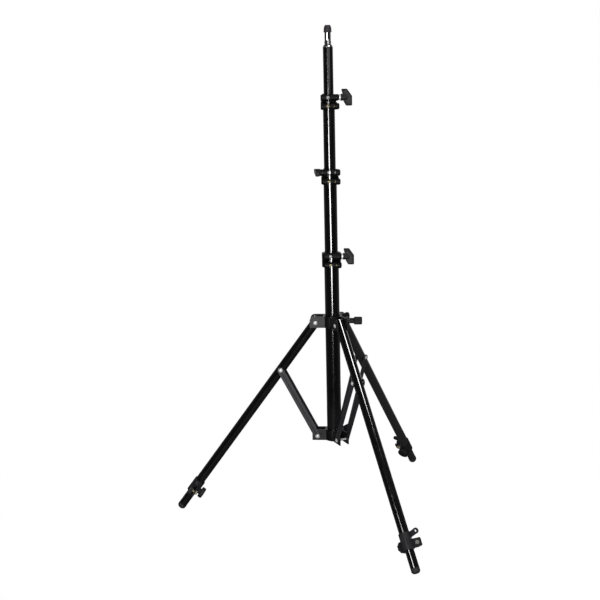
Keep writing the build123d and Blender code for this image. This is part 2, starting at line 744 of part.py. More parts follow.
    with BuildPart() as leg_screw:
        tip = frame.from_local_coords(Vector(0, -leg_screw_tip, leg_ear_along))
        reach = leg_boss_end + knob_gap + leg_screw_grip - leg_screw_tip
        rod(Plane(origin=tip, x_dir=frame.x_dir, z_dir=frame.y_dir * -1), screw_radius, reach)
        chamfer(leg_screw.edges().filter_by(GeomType.CIRCLE), clamp_edge)
    save(leg_screw, f"leg_{leg}_screw")

    foot_pin = (hinge_radius, brace_pin_height)
    head_pin = (hinge_radius + leg_to_brace_pin * leg_sine, leg_pivot_height - leg_pin_drop)
    middle = ((foot_pin[0] + head_pin[0]) / 2, (foot_pin[1] + head_pin[1]) / 2)
    for side, aside in {"right": strip_outside, "left": -brace_strip_inside}.items():
        with BuildPart() as brace_strip:
            with BuildSketch(wall_plane(azimuth, aside)):
                with Locations(middle):
                    SlotCenterToCenter(brace_length, brace_strip_width, rotation=90 - brace_spread)
                with Locations(foot_pin):
                    Circle(rivet_radius + running_gap, mode=Mode.SUBTRACT)
                with Locations(head_pin):
                    Circle(rivet_radius + fixed_gap, mode=Mode.SUBTRACT)
            extrude(amount=brace_strip_thickness)
        save(brace_strip, f"brace_{leg}_{side}")

    with BuildPart() as brace_head_pin:
        rivet(brace_pin, strip_outside + fixed_gap)
    save(brace_head_pin, f"brace_{leg}_pin")
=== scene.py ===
# %% [markdown]
# # A folding light stand
# The frame holds every tube, clamp, collar, brace and knob of the stand at its real size and place.
# This lesson dresses it: it gives each surface its finish, and remakes the small turned,
# threaded and moulded pieces, which look better with their own roundings and details.

# %% Load the frame
import json
import math
import bmesh
import bpy
from mathutils import Matrix, Vector


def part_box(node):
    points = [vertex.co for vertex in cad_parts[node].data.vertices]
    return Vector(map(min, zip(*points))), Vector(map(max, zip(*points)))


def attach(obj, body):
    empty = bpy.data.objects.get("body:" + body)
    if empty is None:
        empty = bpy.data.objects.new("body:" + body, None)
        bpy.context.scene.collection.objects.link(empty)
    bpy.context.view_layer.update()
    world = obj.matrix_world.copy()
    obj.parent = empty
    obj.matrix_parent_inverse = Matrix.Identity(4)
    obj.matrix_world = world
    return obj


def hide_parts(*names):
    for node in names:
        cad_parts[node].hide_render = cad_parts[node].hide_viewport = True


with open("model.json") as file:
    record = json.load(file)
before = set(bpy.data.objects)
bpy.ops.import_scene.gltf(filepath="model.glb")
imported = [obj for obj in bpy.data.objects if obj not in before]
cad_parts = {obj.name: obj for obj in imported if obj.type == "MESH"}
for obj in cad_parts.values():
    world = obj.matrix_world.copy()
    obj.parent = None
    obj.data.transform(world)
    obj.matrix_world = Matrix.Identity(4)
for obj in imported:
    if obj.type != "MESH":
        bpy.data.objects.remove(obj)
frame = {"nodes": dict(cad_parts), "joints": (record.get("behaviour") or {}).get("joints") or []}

nodes = frame["nodes"]
joints = {joint["name"]: joint for joint in frame["joints"]}
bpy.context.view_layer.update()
mm = 0.001
bpy.ops.object.select_all(action="DESELECT")

# %% [markdown]
# ## Camera
# The photograph was taken from a little above the stand's middle, slightly from the right, with the
# camera tipped down and leaning a touch to one side. The camera's own axes are worked out from those
# three angles and written straight into its matrix, because that keeps the lean without any constraint.

# %% Place the camera
camera_place = Vector((0.1800, -2.8094, 1.2335))
camera_yaw = math.radians(-5.36)
camera_pitch = math.radians(12.95)
camera_roll = math.radians(-1.36)
look = Vector((
    math.sin(camera_yaw) * math.cos(camera_pitch),
    math.cos(camera_yaw) * math.cos(camera_pitch),
    -math.sin(camera_pitch),
))
level_right = Vector((math.cos(camera_yaw), -math.sin(camera_yaw), 0))
level_up = level_right.cross(look)
right = level_right * math.cos(camera_roll) + level_up * math.sin(camera_roll)
up = level_up * math.cos(camera_roll) - level_right * math.sin(camera_roll)

lens = bpy.data.cameras.new("photo_lens")
lens.sensor_width = 36.0
lens.lens = 66.89
lens.clip_end = 50.0
camera = bpy.data.objects.new("photo_camera", lens)
bpy.context.scene.collection.objects.link(camera)
camera.matrix_world = Matrix.Translation(camera_place) @ Matrix((right, up, -look)).transposed().to_4x4()
bpy.context.scene.camera = camera
print("camera at", list(camera_place), "lens", lens.lens)

# %% [markdown]
# ## Studio
# The stand is shown on plain white. A tall leaning soft box behind the camera draws the narrow bright line
# down the column, and a wide dim panel above it gives the top tube and the spigot their softer one. A high
# box on the right and a side box on the left draw the short lines on the leg that points to the camera: each
# box stands where a mirror at that spot of the tube would look. The camera sees white all round. In
# reflections only the backdrop behind the stand is white and the rest of the room is dark, so gloss black
# stays black.


# %% Floor and lamps
def soft_box(name, place, target, width, height, power, lean=0.0):
    """A rectangular area lamp that faces a point, turned about its own beam by a lean in degrees."""
    data = bpy.data.lights.new(name, "AREA")
    data.shape = "RECTANGLE"
    data.size = width
    data.size_y = height
    data.energy = power
    lamp = bpy.data.objects.new(name, data)
    bpy.context.scene.collection.objects.link(lamp)
    facing = (Vector(target) - Vector(place)).to_track_quat("-Z", "Y").to_matrix().to_4x4()
    lamp.matrix_world = Matrix.Translation(place) @ facing @ Matrix.Rotation(math.radians(lean), 4, "Z")


bpy.context.scene.view_settings.view_transform = "Standard"
soft_box(
    "key_box", place=(-0.07, -3.4, 0.33), target=(0, 0, 0.35), width=0.52, height=1.58, power=54, lean=50
)
soft_box("upper_panel", place=(1.2, -3.4, 1.22), target=(0, 0, 1.2), width=3.6, height=0.5, power=4)
soft_box("side_box", place=(-1.0, -3.4, 1.74), target=(0, 0, 0.4), width=0.6, height=0.8, power=24)
soft_box(
    "high_box", place=(1.29, -2.12, 3.69), target=(0.07, -0.1, 0.46), width=0.95, height=0.75, power=44
)

floor_radius = 0.9
bpy.ops.mesh.primitive_circle_add(
    vertices=96, radius=floor_radius, fill_type="TRIFAN", location=(0, 0, 0)
)
floor = bpy.context.object
floor.name = "studio_floor"


# %% Helpers for nodes
def feed(tree, socket, value):
    """Sets a socket to a number or a colour, or links it to another socket."""
    if isinstance(value, (int, float)):
        socket.default_value = value
    elif isinstance(value, tuple):
        socket.default_value = (*value, 1.0)
    else:
        tree.links.new(value, socket)


def math_node(tree, operation, first, second):
    """A Math node between two values, numbers or links."""
    node = tree.nodes.new("ShaderNodeMath")
    node.operation = operation
    feed(tree, node.inputs[0], first)
    feed(tree, node.inputs[1], second)
    return node.outputs[0]


def span(tree, value, low, high, to_low=0.0, to_high=1.0):
    """A clamped Map Range, whose end values are numbers or links."""
    node = tree.nodes.new("ShaderNodeMapRange")
    tree.links.new(value, node.inputs["Value"])
    for label, limit in (("From Min", low), ("From Max", high), ("To Min", to_low), ("To Max", to_high)):
        feed(tree, node.inputs[label], limit)
    return node.outputs["Result"]


# %% World
world = bpy.data.worlds.new("white_backdrop")
bpy.context.scene.world = world
world.use_nodes = True
room = world.node_tree
room.nodes.clear()
fill_light = 0.31

paths = room.nodes.new("ShaderNodeLightPath").outputs
direction = room.nodes.new("ShaderNodeSeparateXYZ")
room.links.new(room.nodes.new("ShaderNodeTexCoord").outputs["Generated"], direction.inputs["Vector"])
sides = span(room, direction.outputs["Y"], -0.4, 0.4, 0.015, 0.09)
backdrop = span(room, direction.outputs["Y"], 0.74, 0.92, 0.02, 1.0)
mirrored = math_node(room, "MAXIMUM", paths["Is Glossy Ray"], paths["Is Transmission Ray"])
mirror_light = math_node(room, "MAXIMUM", sides, backdrop)
indirect = span(room, mirrored, 0.0, 1.0, fill_light, mirror_light)
white = room.nodes.new("ShaderNodeBackground")
white.inputs["Color"].default_value = (1, 1, 1, 1)
room.links.new(span(room, paths["Is Camera Ray"], 0.0, 1.0, indirect, 1.0), white.inputs["Strength"])
sky = room.nodes.new("ShaderNodeOutputWorld")
room.links.new(white.outputs["Background"], sky.inputs["Surface"])
print("world nodes:", len(room.nodes))

# %% [markdown]
# ## Shared effects
# Five effects come back in several finishes, so each is one node group with its own inputs: the fine
# grain of moulded plastic and paint, rub marks that run along a tube, the bright rubbed line on an edge,
# the fine rings that a lathe leaves, and a mask for the bare inside and the cut rim of a tube.


# %% Helper for node groups
def new_group(name, inputs, outputs):
    """A shader node group with named inputs and outputs, and its two end nodes."""
    group = bpy.data.node_groups.new(name, "ShaderNodeTree")
    for label, kind, value in inputs:
        socket = group.interface.new_socket(name=label, in_out="INPUT", socket_type=kind)
        if value is not None:
            socket.default_value = value
    for label, kind in outputs:
        group.interface.new_socket(name=label, in_out="OUTPUT", socket_type=kind)
    return group, group.nodes.new("NodeGroupInput"), group.nodes.new("NodeGroupOutput")


def distance_from_axis(tree, place):
    """How far a point is from the z axis."""
    flat = tree.nodes.new("ShaderNodeVectorMath")
    flat.operation = "MULTIPLY"
    flat.inputs[1].default_value = (1, 1, 0)
    length = tree.nodes.new("ShaderNodeVectorMath")
    length.operation = "LENGTH"
    tree.links.new(place, flat.inputs[0])
    tree.links.new(flat.outputs["Vector"], length.inputs[0])
    return length.outputs["Value"]


# %% Grain, rub marks, edge wear, turning rings and tube walls
grain_group, start, end = new_group(
    "fine_grain",
    [("Vector", "NodeSocketVector", None), ("Scale", "NodeSocketFloat", 900.0)],
    [("Height", "NodeSocketFloat"), ("Tone", "NodeSocketFloat")],
)
fine = grain_group.nodes.new("ShaderNodeTexNoise")
fine.inputs["Detail"].default_value = 5.0
fine.inputs["Roughness"].default_value = 0.6
broad = grain_group.nodes.new("ShaderNodeTexNoise")
broad.inputs["Scale"].default_value = 38.0
broad.inputs["Detail"].default_value = 4.0
grain_group.links.new(start.outputs["Vector"], fine.inputs["Vector"])
grain_group.links.new(start.outputs["Scale"], fine.inputs["Scale"])
grain_group.links.new(start.outputs["Vector"], broad.inputs["Vector"])
grain_group.links.new(fine.outputs["Fac"], end.inputs["Height"])
grain_group.links.new(span(grain_group, broad.outputs["Fac"], 0.3, 0.7), end.inputs["Tone"])

rub_group, start, end = new_group(
    "rub_marks",
    [("Vector", "NodeSocketVector", None), ("Amount", "NodeSocketFloat", 0.5)],
    [("Mask", "NodeSocketFloat")],
)
lengthen = rub_group.nodes.new("ShaderNodeMapping")
lengthen.inputs["Scale"].default_value = (700.0, 700.0, 9.0)
streak = rub_group.nodes.new("ShaderNodeTexNoise")
streak.inputs["Scale"].default_value = 1.0
streak.inputs["Detail"].default_value = 3.0
patch = rub_group.nodes.new("ShaderNodeTexNoise")
patch.inputs["Scale"].default_value = 14.0
rub_group.links.new(start.outputs["Vector"], lengthen.inputs["Vector"])
rub_group.links.new(lengthen.outputs["Vector"], streak.inputs["Vector"])
rub_group.links.new(start.outputs["Vector"], patch.inputs["Vector"])
line = span(rub_group, streak.outputs["Fac"], 0.62, 0.74)
where = span(rub_group, patch.outputs["Fac"], 0.45, 0.65)
marks = math_node(rub_group, "MULTIPLY", line, where)
rub_group.links.new(math_node(rub_group, "MULTIPLY", marks, start.outputs["Amount"]), end.inputs["Mask"])

wear_group, start, end = new_group(
    "edge_wear",
    [
        ("Vector", "NodeSocketVector", None),
        ("Radius", "NodeSocketFloat", 0.0006),
        ("Amount", "NodeSocketFloat", 0.5),
    ],
    [("Mask", "NodeSocketFloat")],
)
rounded = wear_group.nodes.new("ShaderNodeBevel")
rounded.samples = 4
surface = wear_group.nodes.new("ShaderNodeNewGeometry")
facing = wear_group.nodes.new("ShaderNodeVectorMath")
facing.operation = "DOT_PRODUCT"
broken = wear_group.nodes.new("ShaderNodeTexNoise")
broken.inputs["Scale"].default_value = 160.0
broken.inputs["Detail"].default_value = 4.0
wear_group.links.new(start.outputs["Radius"], rounded.inputs["Radius"])
wear_group.links.new(rounded.outputs["Normal"], facing.inputs[0])
wear_group.links.new(surface.outputs["Normal"], facing.inputs[1])
wear_group.links.new(start.outputs["Vector"], broken.inputs["Vector"])
edge = span(wear_group, facing.outputs["Value"], 0.985, 0.88)
flakes = span(wear_group, broken.outputs["Fac"], 0.42, 0.62)
worn = math_node(wear_group, "MULTIPLY", edge, flakes)
wear_group.links.new(math_node(wear_group, "MULTIPLY", worn, start.outputs["Amount"]), end.inputs["Mask"])

ring_group, start, end = new_group(
    "turning_rings",
    [("Vector", "NodeSocketVector", None), ("Scale", "NodeSocketFloat", 2200.0)],
    [("Height", "NodeSocketFloat"), ("Tone", "NodeSocketFloat")],
)
flatten = ring_group.nodes.new("ShaderNodeMapping")
flatten.inputs["Scale"].default_value = (0.02, 0.02, 1.0)
rings = ring_group.nodes.new("ShaderNodeTexNoise")
rings.inputs["Detail"].default_value = 2.0
smear = ring_group.nodes.new("ShaderNodeTexNoise")
smear.inputs["Scale"].default_value = 120.0
ring_group.links.new(start.outputs["Vector"], flatten.inputs["Vector"])
ring_group.links.new(flatten.outputs["Vector"], rings.inputs["Vector"])
ring_group.links.new(start.outputs["Scale"], rings.inputs["Scale"])
ring_group.links.new(start.outputs["Vector"], smear.inputs["Vector"])
ring_group.links.new(rings.outputs["Fac"], end.inputs["Height"])
ring_group.links.new(span(ring_group, smear.outputs["Fac"], 0.3, 0.7), end.inputs["Tone"])

wall_group, start, end = new_group(
    "tube_walls",
    [
        ("Vector", "NodeSocketVector", None),
        ("Bore radius", "NodeSocketFloat", 0.011),
        ("First end", "NodeSocketFloat", 0.0),
        ("Last end", "NodeSocketFloat", 1.0),
    ],
    [("Bare", "NodeSocketFloat")],
)
along = wall_group.nodes.new("ShaderNodeSeparateXYZ")
wall_group.links.new(start.outputs["Vector"], along.inputs["Vector"])
across = distance_from_axis(wall_group, start.outputs["Vector"])
inside = math_node(wall_group, "LESS_THAN", across, start.outputs["Bore radius"])
from_first = math_node(wall_group, "SUBTRACT", along.outputs["Z"], start.outputs["First end"])
to_last = math_node(wall_group, "SUBTRACT", start.outputs["Last end"], along.outputs["Z"])
rim = span(wall_group, math_node(wall_group, "MINIMUM", from_first, to_last), 0.0007, 0.0002)
wall_group.links.new(math_node(wall_group, "MAXIMUM", inside, rim), end.inputs["Bare"])
print("effects:", [g.name for g in bpy.data.node_groups])

# %% [markdown]
# ## Finishes
# The tubes carry a hard gloss black lacquer over aluminium: nearly black, with a faint waviness, fine
# rub marks along their length and bare metal in the bore and on the cut rims. The rear leg's lacquer is
# painted paler: painted light, for the paler look that the light gives it. The clamps and knobs are
# moulded plastic with a fine grain. The collars and braces are satin grey paint, worn to metal on some
# edges, and the collars' rings carry painted shade: a deeper black than their lugs, for the dark that
# their curved fronts reflect. Rivets and screws carry a dull pale zinc plate; nuts, bolts and washers
# have a pale, yellow or aged plate or are blackened. The spigot is polished chrome and the feet are
# rubber. Every number that is the same all over a surface sits on the shader itself.


# %% Helper for finishes
def new_finish(name):
    """A material with a Principled shader, and Object coordinates to hang patterns on."""
    material = bpy.data.materials.new(name)
    material.use_nodes = True
    tree = material.node_tree
    shader = tree.nodes["Principled BSDF"]
    place = tree.nodes.new("ShaderNodeTexCoord").outputs["Object"]
    return material, tree, shader, place


def use_group(tree, group, vector, **values):
    """Places a node group in a material, with its own values."""
    node = tree.nodes.new("ShaderNodeGroup")
    node.node_tree = group
    tree.links.new(vector, node.inputs["Vector"])
    for label, value in values.items():
        node.inputs[label.replace("_", " ")].default_value = value
    return node.outputs


def blend_colours(tree, factor, first, second):
    """A colour Mix node between two colours, given or linked. Its colour sockets go by number."""
    node = tree.nodes.new("ShaderNodeMix")
    node.data_type = "RGBA"
    tree.links.new(factor, node.inputs[0])
    feed(tree, node.inputs[6], first)
    feed(tree, node.inputs[7], second)
    return node.outputs[2]


def blend_values(tree, factor, first, second):
    """A float Mix node between two values, numbers or links."""
    node = tree.nodes.new("ShaderNodeMix")
    tree.links.new(factor, node.inputs["Factor"])
    feed(tree, node.inputs["A"], first)
    feed(tree, node.inputs["B"], second)
    return node.outputs["Result"]


def raise_surface(tree, shader, height, strength, distance):
    """A Bump node from a height to the shader's normal."""
    node = tree.nodes.new("ShaderNodeBump")
    node.inputs["Strength"].default_value = strength
    node.inputs["Distance"].default_value = distance
    tree.links.new(height, node.inputs["Height"])
    tree.links.new(node.outputs["Normal"], shader.inputs["Normal"])


def coat(name, finish):
    """Gives a CAD node its finish."""
    nodes[name].data.materials.clear()
    nodes[name].data.materials.append(finish)


# %% Gloss lacquer on tubes
lacquer_dark = (0.0012, 0.0012, 0.0014)
lacquer_light = (0.0024, 0.0023, 0.0026)
rub_colour = (0.02, 0.02, 0.021)
bare_aluminium = (0.80, 0.80, 0.79)


def tube_lacquer(name, to_tube, bore_radius, first_end, last_end, painted_lightening=0.0):
    """Gloss black lacquer on a tube whose own frame has z along the tube, made paler by painted light."""
    material, tree, shader, place = new_finish(name)
    turn = tree.nodes.new("ShaderNodeMapping")
    shift, rotation, _ = to_tube.decompose()
    turn.inputs["Location"].default_value = shift
    turn.inputs["Rotation"].default_value = rotation.to_euler("XYZ")
    tree.links.new(place, turn.inputs["Vector"])
    own = turn.outputs["Vector"]
    grain = use_group(tree, grain_group, own, Scale=60.0)
    rubs = use_group(tree, rub_group, own, Amount=0.2)
    walls = use_group(
        tree, wall_group, own, Bore_radius=bore_radius, First_end=first_end, Last_end=last_end
    )
    # Painted light: this lift raises both lacquer tones, so the whole tube looks more lit.
    darker = tuple(value + painted_lightening for value in lacquer_dark)
    lighter = tuple(value + painted_lightening for value in lacquer_light)
    black = blend_colours(tree, grain["Tone"], darker, lighter)
    rubbed = blend_colours(tree, rubs["Mask"], black, rub_colour)
    tree.links.new(blend_colours(tree, walls["Bare"], rubbed, bare_aluminium), shader.inputs["Base Color"])
    gloss = blend_values(tree, grain["Tone"], 0.10, 0.13)
    dulled = blend_values(tree, rubs["Mask"], gloss, 0.3)
    tree.links.new(blend_values(tree, walls["Bare"], dulled, 0.36), shader.inputs["Roughness"])
    tree.links.new(walls["Bare"], shader.inputs["Metallic"])
    raise_surface(tree, shader, grain["Height"], strength=0.01, distance=0.0002)
    shader.inputs["IOR"].default_value = 1.9
    return material


column_bores = {
    "base_tube": 0.0178,
    "section_2_tube": 0.0158,
    "section_3_tube": 0.0138,
    "section_4_tube": 0.0113,
}
for name, bore in column_bores.items():
    low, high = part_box(name)
    coat(name, tube_lacquer(f"gloss_lacquer_{name}", Matrix.Identity(4), bore, low[2], high[2]))


def axes_matrix(origin, x_axis, z_axis):
    """Matrix of a frame from its origin, its x direction and its z direction."""
    z = Vector(z_axis).normalized()
    x = (Vector(x_axis) - z * Vector(x_axis).dot(z)).normalized()
    y = z.cross(x)
    return Matrix.Translation(Vector(origin)) @ Matrix((x, y, z)).transposed().to_4x4()


# For each part of a leg: the radius of its bore, and where it begins and ends along the leg.
leg_parts = {"tube": (0.0116, -0.012, 0.5628), "extension": (0.0101, 0.300, 0.700)}
# Painted light on each leg's lacquer: the rear leg is painted paler, as the light makes it look.
leg_painted_lightening = {"a": 0.0, "b": 0.0, "c": 0.018}
leg_pivots = {"a": "collar_hinge", "b": "leg_b_hinge", "c": "leg_c_hinge"}
leg_frames = {}
for leg, turn_joint in leg_pivots.items():
    pivot = Vector(joints[turn_joint]["pos_m"])
    down_leg = Vector(joints[f"extension_{leg}_slide"]["axis"])
    sideways = Vector((0, 0, 1)).cross(Vector((pivot.x, pivot.y, 0)).normalized())
    leg_frames[leg] = axes_matrix(pivot, sideways, down_leg)
    to_leg = leg_frames[leg].inverted()
    for part, (bore, first, last) in leg_parts.items():
        name = f"leg_{leg}_{part}"
        coat(name, tube_lacquer(f"gloss_lacquer_{name}", to_leg, bore, first, last, leg_painted_lightening[leg]))
print("lacquered tubes:", len(column_bores) + len(leg_parts) * len(leg_frames))


# %% Plastic, paint, steel, chrome and rubber
def moulded_plastic(name, dark, light, roughness, grain_scale, ior):
    """Satin moulded plastic: a fine grain, broad shade changes and edges that are rubbed a little paler."""
    material, tree, shader, place = new_finish(name)
    grain = use_group(tree, grain_group, place, Scale=grain_scale)
    wear = use_group(tree, wear_group, place, Radius=0.0007, Amount=0.55)
    shade = blend_colours(tree, grain["Tone"], dark, light)
    pale = tuple(min(1.0, 3.2 * value + 0.01) for value in light)
    tree.links.new(blend_colours(tree, wear["Mask"], shade, pale), shader.inputs["Base Color"])
    satin = blend_values(tree, grain["Tone"], roughness - 0.05, roughness + 0.06)
    tree.links.new(blend_values(tree, wear["Mask"], satin, roughness - 0.1), shader.inputs["Roughness"])
    raise_surface(tree, shader, grain["Height"], strength=0.07, distance=0.0003)
    shader.inputs["IOR"].default_value = ior
    return material


def worn_paint(name, dark, light, roughness, shaded_ring_radius=None):
    """Satin paint worn to metal on some edges, and painted shade: a deeper black within a radius of the z
    axis.
    """
    material, tree, shader, place = new_finish(name)
    grain = use_group(tree, grain_group, place, Scale=650.0)
    wear = use_group(tree, wear_group, place, Radius=0.0005, Amount=0.4)
    shade = blend_colours(tree, grain["Tone"], dark, light)
    if shaded_ring_radius:
        # Painted shade: inside this radius the collar's ring is painted a deeper black, for the dark that
        # its curved front reflects.
        lug_outside_shade = span(tree, distance_from_axis(tree, place), shaded_ring_radius, shaded_ring_radius + 0.0006)
        shade = blend_colours(tree, lug_outside_shade, (0.003, 0.003, 0.0032), shade)
    tree.links.new(blend_colours(tree, wear["Mask"], shade, (0.42, 0.41, 0.40)), shader.inputs["Base Color"])
    tree.links.new(wear["Mask"], shader.inputs["Metallic"])
    satin = blend_values(tree, grain["Tone"], roughness - 0.05, roughness + 0.07)
    tree.links.new(blend_values(tree, wear["Mask"], satin, 0.34), shader.inputs["Roughness"])
    raise_surface(tree, shader, grain["Height"], strength=0.04, distance=0.0003)
    shader.inputs["IOR"].default_value = 1.4
    return material


def turned_metal(name, dark, light, smooth, rough, bump):
    """Metal with the fine rings of turning and a slightly uneven polish."""
    material, tree, shader, place = new_finish(name)
    rings_out = use_group(tree, ring_group, place, Scale=1800.0)
    tree.links.new(blend_colours(tree, rings_out["Tone"], dark, light), shader.inputs["Base Color"])
    tree.links.new(blend_values(tree, rings_out["Tone"], smooth, rough), shader.inputs["Roughness"])
    raise_surface(tree, shader, rings_out["Height"], strength=bump, distance=0.0001)
    shader.inputs["Metallic"].default_value = 1.0
    return material


def dull_zinc(name, dark, light):
    """Zinc plating on bought parts: a dull metal with small shade changes."""
    material, tree, shader, place = new_finish(name)
    grain = use_group(tree, grain_group, place, Scale=800.0)
    tree.links.new(blend_colours(tree, grain["Tone"], dark, light), shader.inputs["Base Color"])
    tree.links.new(blend_values(tree, grain["Tone"], 0.30, 0.42), shader.inputs["Roughness"])
    raise_surface(tree, shader, grain["Height"], strength=0.04, distance=0.0002)
    shader.inputs["Metallic"].default_value = 0.45
    return material


def moulded_rubber(name):
    """Black rubber: matt, with a mould grain and paler rubbed edges."""
    material, tree, shader, place = new_finish(name)
    grain = use_group(tree, grain_group, place, Scale=1500.0)
    wear = use_group(tree, wear_group, place, Radius=0.0015, Amount=0.7)
    shade = blend_colours(tree, grain["Tone"], (0.012, 0.012, 0.012), (0.022, 0.021, 0.020))
    worn_shade = blend_colours(tree, wear["Mask"], shade, (0.055, 0.053, 0.05))
    tree.links.new(worn_shade, shader.inputs["Base Color"])
    tree.links.new(blend_values(tree, grain["Tone"], 0.6, 0.74), shader.inputs["Roughness"])
    raise_surface(tree, shader, grain["Height"], strength=0.35, distance=0.0004)
    return material


black_plastic = moulded_plastic(
    "black_plastic", (0.0026, 0.0026, 0.0029), (0.0050, 0.0048, 0.0053),
    roughness=0.40, grain_scale=1400.0, ior=1.22,
)
knob_plastic = moulded_plastic(
    "knob_plastic", (0.0105, 0.0105, 0.0118), (0.0162, 0.0159, 0.0176),
    roughness=0.42, grain_scale=1100.0, ior=1.25,
)
leg_plastic = moulded_plastic(
    "leg_plastic", (0.0155, 0.0154, 0.0172), (0.0230, 0.0226, 0.0248),
    roughness=0.42, grain_scale=1100.0, ior=1.25,
)
cap_plastic = moulded_plastic(
    "cap_plastic", (0.024, 0.021, 0.025), (0.042, 0.037, 0.044),
    roughness=0.36, grain_scale=1200.0, ior=1.33,
)
grey_paint = worn_paint("grey_paint", (0.0220, 0.0210, 0.0238), (0.0340, 0.0322, 0.0362), roughness=0.38)
# The collars' paint carries painted shade on their rings.
collar_paint = worn_paint(
    "collar_paint", (0.0085, 0.0081, 0.0093), (0.0132, 0.0125, 0.0142), roughness=0.38, shaded_ring_radius=0.0252
)
black_steel = turned_metal(
    "black_steel", (0.020, 0.020, 0.022), (0.045, 0.045, 0.048), smooth=0.30, rough=0.42, bump=0.05
)
spigot_chrome = turned_metal(
    "spigot_chrome", (0.80, 0.80, 0.79), (0.92, 0.92, 0.91), smooth=0.05, rough=0.11, bump=0.02
)
pale_zinc = dull_zinc("pale_zinc", (0.66, 0.66, 0.65), (0.84, 0.84, 0.82))
yellow_zinc = dull_zinc("yellow_zinc", (0.58, 0.52, 0.34), (0.78, 0.72, 0.50))
aged_zinc = dull_zinc("aged_zinc", (0.26, 0.25, 0.23), (0.35, 0.34, 0.31))
foot_rubber = moulded_rubber("foot_rubber")

for name in nodes:
    if name.endswith(("_plug", "_body")):
        coat(name, black_plastic)
    elif name.endswith("_clamp"):
        coat(name, leg_plastic)
    elif name.endswith("_knob"):
        coat(name, knob_plastic)
    elif name in ("brace_collar", "leg_collar"):
        coat(name, collar_paint)
    elif name.endswith(("_left", "_right")):
        coat(name, grey_paint)
    elif name.endswith(("_pin", "_pins", "_screw", "_hardware")):
        coat(name, pale_zinc)
    elif name.endswith("_foot"):
        coat(name, foot_rubber)
coat("spigot", spigot_chrome)
coat("spigot_cap", cap_plastic)
print("finishes:", len(bpy.data.materials))

# %% [markdown]
# ## Ways of working
# Each new piece is modelled at the origin with its own axis along z, in millimetres turned to metres.
# Then it is set into its place with one matrix, and that place is applied to its mesh, so a pattern on
# Object coordinates stays put. A turned piece starts as a circle that is extruded ring by ring, as on a
# lathe; a threaded rod is a zigzag line that the Screw modifier winds up and two cuts trim to length.


# %% Modelling helpers
same_point = 0.000005


def only(obj):
    """Selects one object and makes it the active one, in object mode."""
    if bpy.context.mode != "OBJECT":
        bpy.ops.object.mode_set(mode="OBJECT")
    bpy.ops.object.select_all(action="DESELECT")
    obj.select_set(True)
    bpy.context.view_layer.objects.active = obj


def edit(obj, kind):
    """Opens one object in edit mode with nothing selected."""
    only(obj)
    bpy.ops.object.mode_set(mode="EDIT")
    bpy.ops.mesh.select_mode(type=kind)
    bpy.ops.mesh.select_all(action="DESELECT")


def pick(obj, kind, test):
    """Selects, in edit mode, the vertices, edges or faces whose middle passes a test, and nothing else."""
    mesh = bmesh.from_edit_mesh(obj.data)
    bpy.ops.mesh.select_all(action="DESELECT")
    for element in getattr(mesh, kind):
        corners = [element.co] if kind == "verts" else [v.co for v in element.verts]
        middle = sum(corners, Vector()) / len(corners)
        if test(middle / mm):
            element.select_set(True)
    mesh.select_flush_mode()
    bmesh.update_edit_mesh(obj.data)


def close_up(obj):
    """Merges doubles, turns the faces outwards and leaves edit mode."""
    bpy.ops.mesh.select_all(action="SELECT")
    bpy.ops.mesh.remove_doubles(threshold=same_point)
    bpy.ops.mesh.normals_make_consistent(inside=False)
    bpy.ops.object.mode_set(mode="OBJECT")
    return obj


def apply_modifier(obj, kind, **values):
    """Adds a modifier with its values and applies it."""
    only(obj)
    modifier = obj.modifiers.new(kind.lower(), kind)
    for key, value in values.items():
        setattr(modifier, key, value)
    bpy.ops.object.modifier_apply(modifier=modifier.name)


def round_edges(obj, width, segments, angle):
    """Rounds the edges that bend by more than an angle in degrees; the width is in millimetres."""
    apply_modifier(
        obj, "BEVEL", width=width * mm, segments=segments,
        limit_method="ANGLE", angle_limit=math.radians(angle),
    )


def combine(obj, other, operation):
    """Cuts with, joins or intersects another piece, which is then removed."""
    apply_modifier(obj, "BOOLEAN", object=other, operation=operation, solver="EXACT")
    bpy.data.objects.remove(other)


def set_in(obj, matrix):
    """Puts a finished piece in its place and applies that place to its mesh."""
    only(obj)
    obj.matrix_world = matrix
    bpy.ops.object.transform_apply(location=True, rotation=True, scale=True)


def hand_over(obj, body, slot, finish, *replaced, angle=38.0):
    """Smooths a piece, gives it its finish, ties it to its body, and hides the CAD nodes it stands for."""
    only(obj)
    bpy.ops.object.shade_smooth_by_angle(angle=math.radians(angle))
    obj.data.materials.clear()
    obj.data.materials.append(finish)
    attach(obj, body)
    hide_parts(*replaced)


def copy_piece(obj, name):
    """A copy of a piece with its own mesh."""
    twin = obj.copy()
    twin.data = obj.data.copy()
    twin.name = name
    bpy.context.scene.collection.objects.link(twin)
    return twin


def turned(name, outline, sides=64):
    """Turns a closed piece: a filled circle is extruded along (radius, height) pairs in millimetres."""
    radius, height = outline[0]
    bpy.ops.object.select_all(action="DESELECT")
    bpy.ops.mesh.primitive_circle_add(vertices=sides, radius=radius * mm, location=(0, 0, height * mm))
    obj = bpy.context.object
    obj.name = name
    bpy.ops.object.transform_apply(location=True, rotation=True, scale=True)
    edit(obj, "EDGE")
    bpy.ops.mesh.select_all(action="SELECT")
    bpy.ops.mesh.edge_face_add()
    bpy.ops.mesh.select_mode(type="FACE")
    for next_radius, next_height in outline[1:]:
        rise = (next_height - height) * mm
        bpy.ops.mesh.extrude_region_move(TRANSFORM_OT_translate={"value": (0, 0, rise)})
        scale = next_radius / radius
        bpy.ops.transform.resize(value=(scale, scale, 1), center_override=(0, 0, next_height * mm))
        radius, height = next_radius, next_height
    return close_up(obj)


